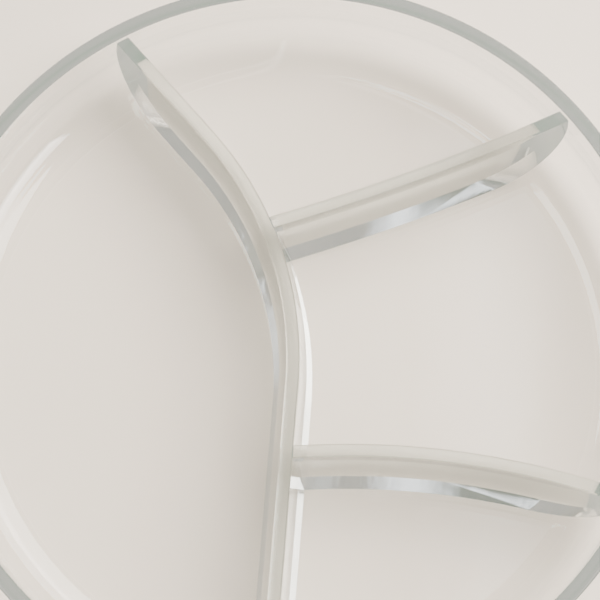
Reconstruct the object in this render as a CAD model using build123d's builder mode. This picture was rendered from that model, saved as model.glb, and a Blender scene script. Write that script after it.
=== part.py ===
"""Round glass dish, divided by three curved glass walls into four compartments.

The dish body is one moulded piece: a flat floor that runs through a broad inner radius into
a leaning wall with a flat ground rim. Three drafted divider walls are set in on its floor,
wall to wall, with their lower corners rounded clear of that radius. The origin is the middle
of the underside, and +Z points up.
"""
from build123d import *
from math import cos, radians, sin, tan
import os

# dish body
rim_diameter = 100.0
dish_height = 15.0
rim_land = 2.0            # width of the flat ground rim, and so the wall thickness
floor_thickness = 2.6
wall_lean = 4.0           # degrees from upright, the mouth wider than the floor
hollow_radius = 7.0       # between floor and wall, inside
heel_radius = 7.5         # between underside and wall, outside
rim_edge = 0.15           # small chamfer on both edges of the rim

# divider walls
divider_drop = 0.8        # how far the divider tops lie below the rim
divider_top = 1.7         # flat ground top of a divider
divider_lean = 8.5        # draft on each flank, degrees
divider_edge = 0.15       # small chamfer on both top edges
keel_radius = 11.0        # rounded lower corner of a divider, clear of the hollow's own radius

# plan of the dividers: an untrimmed divider runs on past the rim by wall_overrun, at an angle
# in degrees round from +X; the long one is two straight runs joined by a broad bend, and the
# short ones leave it a share of its length from the back and bow slightly out of straight
wall_overrun = 2.0
long_back_angle = 119.5
long_front_angle = 265.75
long_corner = (1.4, 14.0)
long_bend = 46.8
upper_joint = 0.347
upper_wall_angle = 39.7
upper_bow = 0.9
lower_joint = 0.646
lower_wall_angle = -25.3
lower_bow = 2.8

# sizes that follow
rim_radius = rim_diameter / 2
wall_reach = rim_radius + wall_overrun
lean_run = tan(radians(wall_lean))
hollow_height = dish_height - floor_thickness
heel_corner = rim_radius - dish_height * lean_run
hollow_mouth = rim_radius - rim_land
hollow_corner = hollow_mouth - hollow_height * lean_run
divider_height = hollow_height - divider_drop
divider_foot = divider_top + 2 * divider_height * tan(radians(divider_lean))


def on_reach(angle):
    """Plan point on the floor where an untrimmed divider's line ends, outside the hollow."""
    return wall_reach * cos(radians(angle)), wall_reach * sin(radians(angle)), floor_thickness


def divider_blank(line):
    """A drafted wall standing on the floor along a line, not yet trimmed."""
    along = line % 0
    section = Plane(line @ 0, x_dir=Vector(0, 0, 1).cross(along), z_dir=along)
    with BuildPart() as blank:
        with BuildSketch(section) as profile:
            Trapezoid(divider_foot, divider_height, 90 - divider_lean, align=(Align.CENTER, Align.MIN))
            chamfer(profile.vertices().group_by(Axis.Y)[-1], divider_edge)
        sweep(path=line)
    return blank.part


with BuildLine() as long_line:
    FilletPolyline(on_reach(long_back_angle), (*long_corner, floor_thickness), on_reach(long_front_angle),
                   radius=long_bend)
long_path = long_line.wires()[0]
upper_path = SagittaArc(long_path @ upper_joint, on_reach(upper_wall_angle), -upper_bow)
lower_path = SagittaArc(long_path @ lower_joint, on_reach(lower_wall_angle), lower_bow)


def bowl(corner_radius):
    """The space inside the dish, up to its rim, with a given radius between floor and wall."""
    with BuildPart() as space:
        with BuildSketch(Plane.XZ) as section:
            with BuildLine():
                Polyline((0, floor_thickness), (hollow_corner, floor_thickness),
                         (hollow_mouth, dish_height), (0, dish_height), close=True)
            make_face()
            fillet(section.vertices().group_by(Axis.Y)[0].sort_by(Axis.X)[-1], corner_radius)
        revolve(axis=Axis.Z)
    return space.part


hollow = bowl(hollow_radius)
divider_space = bowl(keel_radius)

# dish body: floor, wall and flat ground rim in one
with BuildPart() as dish_body:
    with BuildSketch(Plane.XZ) as dish_section:
        with BuildLine():
            Polyline((0, 0), (heel_corner, 0), (rim_radius, dish_height), (0, dish_height), close=True)
        make_face()
        fillet(dish_section.vertices().group_by(Axis.Y)[0].sort_by(Axis.X)[-1], heel_radius)
    revolve(axis=Axis.Z)
    add(hollow, mode=Mode.SUBTRACT)
    chamfer(dish_body.faces().sort_by(Axis.Z)[-1].edges(), rim_edge)

# long divider, from wall to wall
long_blank = divider_blank(long_path)
with BuildPart() as long_divider:
    add(divider_space)
    add(long_blank, mode=Mode.INTERSECT)

# the two short dividers, from the long divider's flank to the wall
upper_wall = divider_blank(upper_path)
with BuildPart() as upper_blank:
    add(upper_wall)
    add(long_blank, mode=Mode.SUBTRACT)
with BuildPart() as upper_divider:
    add(divider_space)
    add(upper_blank.part, mode=Mode.INTERSECT)

lower_wall = divider_blank(lower_path)
with BuildPart() as lower_blank:
    add(lower_wall)
    add(long_blank, mode=Mode.SUBTRACT)
with BuildPart() as lower_divider:
    add(divider_space)
    add(lower_blank.part, mode=Mode.INTERSECT)

pieces = {"dish_body": dish_body, "long_divider": long_divider,
          "upper_divider": upper_divider, "lower_divider": lower_divider}
os.makedirs("parts", exist_ok=True)
for name, piece in pieces.items():
    piece.part.label = name
    export_step(piece.part, f"parts/{name}.step")
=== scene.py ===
from math import cos, degrees, pi, radians, sin, tan

import bmesh
import bpy
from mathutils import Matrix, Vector


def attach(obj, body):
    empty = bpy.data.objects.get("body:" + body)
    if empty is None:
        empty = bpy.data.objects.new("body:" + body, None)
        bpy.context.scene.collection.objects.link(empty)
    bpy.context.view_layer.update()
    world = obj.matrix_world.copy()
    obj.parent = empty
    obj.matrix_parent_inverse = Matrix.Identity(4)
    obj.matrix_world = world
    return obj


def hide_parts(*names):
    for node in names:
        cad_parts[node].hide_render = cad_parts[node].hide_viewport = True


# A round glass petri dish, divided by three curved glass walls into four compartments.
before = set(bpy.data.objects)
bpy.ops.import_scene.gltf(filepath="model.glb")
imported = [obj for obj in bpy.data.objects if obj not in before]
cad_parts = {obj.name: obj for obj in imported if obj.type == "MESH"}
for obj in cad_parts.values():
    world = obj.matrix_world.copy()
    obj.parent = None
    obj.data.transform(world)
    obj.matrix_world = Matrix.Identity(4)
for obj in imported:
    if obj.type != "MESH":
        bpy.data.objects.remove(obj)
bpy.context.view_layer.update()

# ---------------------------------------------------------------------------------------------
# Camera: stands off on the dish's front side and looks down on it from high up, so that the far
# rim is uppermost and the front flanks of the short dividers show.
# ---------------------------------------------------------------------------------------------
mm = 0.001
rim_radius = 50.0
dish_height = 15.0
view_tilt = radians(15.0)           # from straight down
view_distance = 9.0 * rim_radius
dish_across = 0.6366667             # half the rim's width, as a share of the picture's
rim_middle = Vector((0.4883333, 0.5691667))     # in the picture, from its top left corner
sensor_width = 36.0

offset = Vector((0.0, -sin(view_tilt), cos(view_tilt))) * view_distance
camera_data = bpy.data.cameras.new("camera")
camera_data.sensor_width = sensor_width
camera_data.lens = sensor_width * dish_across * view_distance / rim_radius
camera_data.shift_x = 0.5 - rim_middle.x
camera_data.shift_y = rim_middle.y - 0.5
camera_data.clip_start = 0.01
camera = bpy.data.objects.new("camera", camera_data)
bpy.context.scene.collection.objects.link(camera)
camera.location = (offset + Vector((0.0, 0.0, dish_height))) * mm
camera.rotation_euler = (view_tilt, 0.0, 0.0)
bpy.context.scene.camera = camera

# ---------------------------------------------------------------------------------------------
# Dish: clear soda glass, pressed in one piece. Its section is drawn from the axis out under the
# floor, up the leaning wall, over the ground rim and back inside, then turned once round.
# ---------------------------------------------------------------------------------------------
rim_land = 2.0                      # width of the flat ground rim
rim_edge = 0.15                     # small chamfer on both edges of the rim
floor_thickness = 2.6
wall_lean = radians(4.0)
hollow_radius = 7.0                 # between floor and wall, inside
heel_radius = 7.5                   # between underside and wall, outside
hollow_mouth = rim_radius - rim_land
hollow_height = dish_height - floor_thickness
turn_steps = 240
arc_steps = 20


def new_mesh(name, bm, crease=30.0):
    """Closes up a piece, points its faces outwards and shades it smooth between sharp edges."""
    bmesh.ops.remove_doubles(bm, verts=bm.verts[:], dist=1e-7)
    bmesh.ops.recalc_face_normals(bm, faces=bm.faces[:])
    for face in bm.faces:
        face.smooth = True
    for edge in bm.edges:
        edge.smooth = edge.calc_face_angle(0.0) < radians(crease)
    mesh = bpy.data.meshes.new(name)
    bm.to_mesh(mesh)
    bm.free()
    piece = bpy.data.objects.new(name, mesh)
    bpy.context.scene.collection.objects.link(piece)
    return piece


def turned(name, corners):
    """A solid turned round the axis from (radius, height, corner radius) points, in mm."""
    bm = bmesh.new()
    points = [bm.verts.new((radius * mm, 0.0, height * mm)) for radius, height, rounding in corners]
    for one, other in zip(points, points[1:]):
        bm.edges.new((one, other))
    for point, (radius, height, rounding) in zip(points, corners):
        if rounding:
            one, other = [edge.other_vert(point).co - point.co for edge in point.link_edges]
            run = rounding * mm / tan(one.angle(other) / 2)
            bmesh.ops.bevel(bm, geom=[point], offset=run, offset_type="OFFSET", affect="VERTICES",
                            segments=1 if rounding == rim_edge else arc_steps, profile=0.5, material=-1)
    bmesh.ops.spin(bm, geom=bm.verts[:] + bm.edges[:], cent=(0, 0, 0), axis=(0, 0, 1), angle=2 * pi,
                   steps=turn_steps, use_merge=True)
    return new_mesh(name, bm)


def wall_at(height):
    """The hollow's radius at a height above its floor, on the leaning wall."""
    return hollow_mouth - (hollow_height - height) * tan(wall_lean)


dish = turned("dish", [
    (0.0, 0.0, 0.0), (rim_radius - dish_height * tan(wall_lean), 0.0, heel_radius),
    (rim_radius, dish_height, rim_edge), (hollow_mouth, dish_height, rim_edge),
    (wall_at(0.0), floor_thickness, hollow_radius), (0.0, floor_thickness, 0.0)])


class Glass:
    """A glass material whose nodes are written as calls: node() makes one and returns its output."""

    def __init__(self, name):
        self.material = bpy.data.materials.new(name)
        self.material.use_nodes = True
        self.tree = self.material.node_tree
        self.tree.nodes.remove(self.tree.nodes["Principled BSDF"])

    def node(self, kind, settings=None, values=None, output=0):
        made = self.tree.nodes.new(kind)
        for key, value in (settings or {}).items():
            setattr(made, key, value)
        for key, value in (values or {}).items():
            if isinstance(value, Socket):
                self.tree.links.new(value.socket, made.inputs[key])
            else:
                made.inputs[key].default_value = value
        return Socket(self, made.outputs[output])

    def finish(self, **ends):
        for name, value in ends.items():
            self.tree.links.new(value.socket, self.tree.nodes["Material Output"].inputs[name])
        return self.material


class Socket:
    """A shader socket that takes part in sums, so that an expression adds its Math nodes."""

    def __init__(self, owner, socket):
        self.owner = owner
        self.socket = socket

    def math(self, operation, one, other):
        return self.owner.node("ShaderNodeMath", {"operation": operation}, {0: one, 1: other})

    def __mul__(self, other):
        return self.math("MULTIPLY", self, other)

    def __add__(self, other):
        return self.math("ADD", self, other)

    def __gt__(self, other):
        return self.math("GREATER_THAN", self, other)

    def __or__(self, other):
        return self.math("MAXIMUM", self, other)

    __rmul__ = __mul__
    __radd__ = __add__


glass_index = 1.52
depth_tint = (0.55, 0.78, 0.62, 1)  # what white light turns to in thick glass
# painted glow: the pale colour the glass itself gives off where rays run past the bounce limits
painted_glow_colour = (0.80, 0.77, 0.69, 1)
shade_through = (0.5, 0.5, 0.5, 1)  # light that each face lets on to the table
ground_roughness = 0.12             # of the ground tops
ground_depth = 0.1                  # how far down from a top the ground finish goes
broad_ripple, fine_ripple, fine_share = 45.0, 260.0, 0.05
ripple_depth = 0.0006
most_reflections, most_bounces = 2.5, 8.5


def clear_glass(name, ripple, absorbed, ground_height):
    """Soda glass: clear and glossy, faintly green in depth, with the ripple of hand-worked glass
    and a ground top. Where light stays trapped between its faces, the glass gives off a painted glow of a
    fixed pale colour, in place of the light further bounces would gather."""
    glass = Glass(name)
    place = glass.node("ShaderNodeTexCoord", output="Object")
    broad = glass.node("ShaderNodeTexNoise", None, {"Vector": place, "Scale": broad_ripple, "Detail": 1.0})
    fine = glass.node("ShaderNodeTexNoise", None, {"Vector": place, "Scale": fine_ripple, "Detail": 1.0})
    waves = glass.node("ShaderNodeBump", None, {"Strength": ripple, "Distance": ripple_depth,
                                                "Height": broad + fine * fine_share})
    height = glass.node("ShaderNodeSeparateXYZ", None, {"Vector": place}, output="Z")
    ground = (height > (ground_height - ground_depth) * mm) * ground_roughness
    clear = glass.node("ShaderNodeBsdfPrincipled", None, {
        "Base Color": (1, 1, 1, 1), "Roughness": ground, "IOR": glass_index, "Transmission Weight": 1.0,
        "Normal": waves})
    # painted glow: an emission that stands in for light trapped in the glass, though the glass is no lamp
    edge = glass.node("ShaderNodeEmission", None, {"Color": painted_glow_colour, "Strength": 1.0})
    open_glass = glass.node("ShaderNodeBsdfTransparent", None, {"Color": shade_through})
    glossy_depth = glass.node("ShaderNodeLightPath", output="Glossy Depth")
    ray_depth = glass.node("ShaderNodeLightPath", output="Ray Depth")
    for_lamps = glass.node("ShaderNodeLightPath", output="Is Shadow Ray")
    spent = (glossy_depth > most_reflections) | (ray_depth > most_bounces)
    seen = glass.node("ShaderNodeMixShader", None, {0: spent, 1: clear, 2: edge})
    surface = glass.node("ShaderNodeMixShader", None, {0: for_lamps, 1: seen, 2: open_glass})
    volume = glass.node("ShaderNodeVolumeAbsorption", None, {"Color": depth_tint, "Density": absorbed})
    return glass.finish(Surface=surface, Volume=volume)


dish.data.materials.append(clear_glass("dish_glass", ripple=0.03, absorbed=6.0, ground_height=dish_height))
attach(dish, "root")
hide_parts("dish_body")

# ---------------------------------------------------------------------------------------------
# Dividers: three thick drafted glass walls with ground tops. Each stands on the dish's floor, its
# lower ends rounded like a keel, with a hair's breadth of air round it where it is set in.
# ---------------------------------------------------------------------------------------------
divider_height = 11.6
divider_top = 1.7
divider_lean = radians(8.5)
divider_edge = 0.15
keel_radius = 11.0                  # of the lower corners where a divider meets the wall
seat_gap = 0.03
wall_overrun = 2.0                  # how far an untrimmed divider runs on past the rim
space_above = 2.0                   # how far the trimming space stands over the rim
bend_steps = 48


def on_floor(across, along):
    """A point of a divider's line, on the floor."""
    return Vector((across, along, floor_thickness))


def on_reach(angle):
    """Where an untrimmed divider's line ends, past the rim."""
    reach = rim_radius + wall_overrun
    return on_floor(reach * cos(radians(angle)), reach * sin(radians(angle)))


def tangent(start, run):
    """The way a run sets off: along a straight one, and square to the radius on a bend."""
    if isinstance(run, Vector):
        return run.normalized()
    centre, swing = run
    turn = Vector((0, 0, 1 if swing > 0 else -1))
    return turn.cross(start - centre).normalized()


def wall_blank(name, start, runs, grow=0.0):
    """A drafted wall drawn from start along its runs: a Vector is a straight run, and a
    (centre, degrees) pair a bend. grow fattens it all round."""
    bm = bmesh.new()
    across = Vector((0, 0, 1)).cross(tangent(start, runs[0]))
    slope = tan(divider_lean)
    top = divider_top / 2 + grow
    foot = top + divider_height * slope
    rise = divider_height + grow
    section = [(-foot, -grow), (foot, -grow), (top + divider_edge * slope, rise - divider_edge),
               (top - divider_edge, rise), (divider_edge - top, rise),
               (-top - divider_edge * slope, rise - divider_edge)]
    ring = [bm.verts.new((start + across * aside + Vector((0, 0, up))) * mm) for aside, up in section]
    bm.faces.new(ring)
    ends = bm.edges[:]
    for run in runs:
        if isinstance(run, Vector):
            made = bmesh.ops.extrude_edge_only(bm, edges=ends)["geom"]
            moved = {part for part in made if isinstance(part, bmesh.types.BMVert)}
            bmesh.ops.translate(bm, vec=run * mm, verts=list(moved))
            ends = [part for part in made if isinstance(part, bmesh.types.BMEdge)
                    and set(part.verts) <= moved]
        else:
            centre, swing = run
            made = bmesh.ops.spin(bm, geom=ends, cent=centre * mm, axis=(0, 0, 1), angle=radians(swing),
                                  steps=bend_steps)["geom_last"]
            ends = [part for part in made if isinstance(part, bmesh.types.BMEdge)]
    bmesh.ops.contextual_create(bm, geom=ends)
    return new_mesh(name, bm)


def cut(piece, tool, operation):
    """Trims a piece with another one, leaving its mesh free of modifiers."""
    trim = piece.modifiers.new("trim", "BOOLEAN")
    trim.operation = operation
    trim.solver = "EXACT"
    trim.object = tool
    bpy.context.view_layer.update()
    result = bpy.data.meshes.new_from_object(piece.evaluated_get(bpy.context.evaluated_depsgraph_get()))
    piece.modifiers.clear()
    bm = bmesh.new()
    bm.from_mesh(result)
    name = piece.name
    bpy.data.objects.remove(piece)
    bpy.data.meshes.remove(result)
    return new_mesh(name, bm)


keel = turned("keel_space", [
    (0.0, floor_thickness + seat_gap, 0.0),
    (wall_at(0.0) - seat_gap, floor_thickness + seat_gap, keel_radius),
    (wall_at(hollow_height + space_above) - seat_gap, dish_height + space_above, 0.0),
    (0.0, dish_height + space_above, 0.0)])

# the long one: two straight runs from wall to wall, joined by a broad bend
back_end, long_corner, front_end = on_reach(119.5), on_floor(1.4, 14.0), on_reach(265.75)
long_bend = 46.8
back_run = (long_corner - back_end).normalized()
front_run = (front_end - long_corner).normalized()
bend = back_run.angle(front_run)
reach = long_bend * tan(bend / 2)
bend_start, bend_end = long_corner - back_run * reach, long_corner + front_run * reach
bend_middle = bend_start + back_run.cross(Vector((0, 0, 1))) * long_bend
long_runs = [bend_start - back_end, (bend_middle, -degrees(bend)), front_end - bend_end]
long_divider = wall_blank("long_divider_glass", back_end, long_runs)
long_cutter = wall_blank("long_cutter", back_end, long_runs, grow=seat_gap)
long_divider = cut(long_divider, keel, "INTERSECT")

# the short ones: each a shallow bend from the middle of the long one to past the wall
upper_start, upper_centre, upper_swing = on_floor(-3.634, 16.276), on_floor(-91.80, 308.10), 8.81
lower_start, lower_centre, lower_swing = on_floor(-0.889, -14.697), on_floor(6.99, -120.77), -26.6
upper_divider = wall_blank("upper_divider_glass", upper_start, [(upper_centre, upper_swing)])
lower_divider = wall_blank("lower_divider_glass", lower_start, [(lower_centre, lower_swing)])
dividers = [long_divider]
for short in (upper_divider, lower_divider):
    short = cut(short, long_cutter, "DIFFERENCE")
    dividers.append(cut(short, keel, "INTERSECT"))
for tool in (keel, long_cutter):
    bpy.data.objects.remove(tool)

divider_glass = clear_glass("divider_glass", ripple=0.07, absorbed=16.0,
                            ground_height=floor_thickness + divider_height)
for piece, node in zip(dividers, ("long_divider", "upper_divider", "lower_divider")):
    piece.data.materials.append(divider_glass)
    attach(piece, "root")
    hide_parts(node)

# ---------------------------------------------------------------------------------------------
# Stage: a plain pale matt table. The studio is pale overhead, with one narrow bright strip, and
# darker and warmer low down. A large soft window stands at the back right, a small one at right.
# ---------------------------------------------------------------------------------------------
table_reach = 3.0                   # metres from the middle to an edge
table_drop = 0.0002                 # clear of the underside
bm = bmesh.new()
bmesh.ops.create_grid(bm, x_segments=1, y_segments=1, size=table_reach)
bmesh.ops.translate(bm, vec=(0, 0, -table_drop), verts=bm.verts)
table_mesh = bpy.data.meshes.new("table")
bm.to_mesh(table_mesh)
bm.free()
table = bpy.data.objects.new("table", table_mesh)
bpy.context.scene.collection.objects.link(table)
paint = bpy.data.materials.new("table_paint")
paint.use_nodes = True
matt = paint.node_tree.nodes["Principled BSDF"]
matt.inputs["Base Color"].default_value = (0.925, 0.81, 0.695, 1)
matt.inputs["Roughness"].default_value = 0.9
table.data.materials.append(paint)

world = bpy.data.worlds.new("studio")
bpy.context.scene.world = world
world.use_nodes = True
sky = world.node_tree.nodes
ties = world.node_tree.links
way = sky.new("ShaderNodeTexCoord")
parts = sky.new("ShaderNodeSeparateXYZ")
ties.new(way.outputs["Generated"], parts.inputs[0])


def sky_ramp(part, stops):
    """Brightness of the studio against one part of the direction looked in."""
    made = sky.new("ShaderNodeValToRGB")
    for position, _ in stops[:-2]:      # a new ramp has two elements already
        made.color_ramp.elements.new(position)
    for element, (position, colour) in zip(made.color_ramp.elements, stops):
        element.position = position
        element.color = (*colour, 1)
    ties.new(parts.outputs[part], made.inputs[0])
    return made.outputs[0]


# by height: darker and warmer low down; across: an even left half, the strip, and a dark
# green-grey beside it
up_light = sky_ramp("Z", [(0.0, (0.62, 0.57, 0.50)), (0.5, (0.94, 0.95, 0.92)), (1.0, (1.0, 1.0, 1.0))])
across_light = sky_ramp("X", [(0.0, (0.60, 0.60, 0.56)), (0.020, (0.50, 0.51, 0.47)),
                              (0.031, (2.20, 2.30, 2.40)), (0.037, (2.20, 2.30, 2.40)),
                              (0.046, (0.21, 0.28, 0.24)), (0.3, (0.46, 0.49, 0.46))])
both = sky.new("ShaderNodeMix")
both.data_type = "RGBA"
both.blend_type = "MULTIPLY"
both.inputs["Factor"].default_value = 1.0
ties.new(up_light, both.inputs[6])
ties.new(across_light, both.inputs[7])
ties.new(both.outputs[2], sky["Background"].inputs["Color"])
sky["Background"].inputs["Strength"].default_value = 1.0


def window(name, place, wide, high, energy, colour):
    """A soft rectangular light that faces the dish."""
    light = bpy.data.lights.new(name, "AREA")
    light.shape = "RECTANGLE"
    light.size = wide
    light.size_y = high
    light.energy = energy
    light.color = colour
    lamp = bpy.data.objects.new(name, light)
    bpy.context.scene.collection.objects.link(lamp)
    lamp.location = place
    lamp.rotation_euler = (-lamp.location).to_track_quat("-Z", "Y").to_euler()


window("window", (0.42, 0.28, 0.62), 0.72, 0.58, 19.5, (1.0, 0.955, 0.895))
window("side_window", (0.62, -0.22, 0.42), 0.30, 0.22, 4.0, (1.0, 0.97, 0.94))
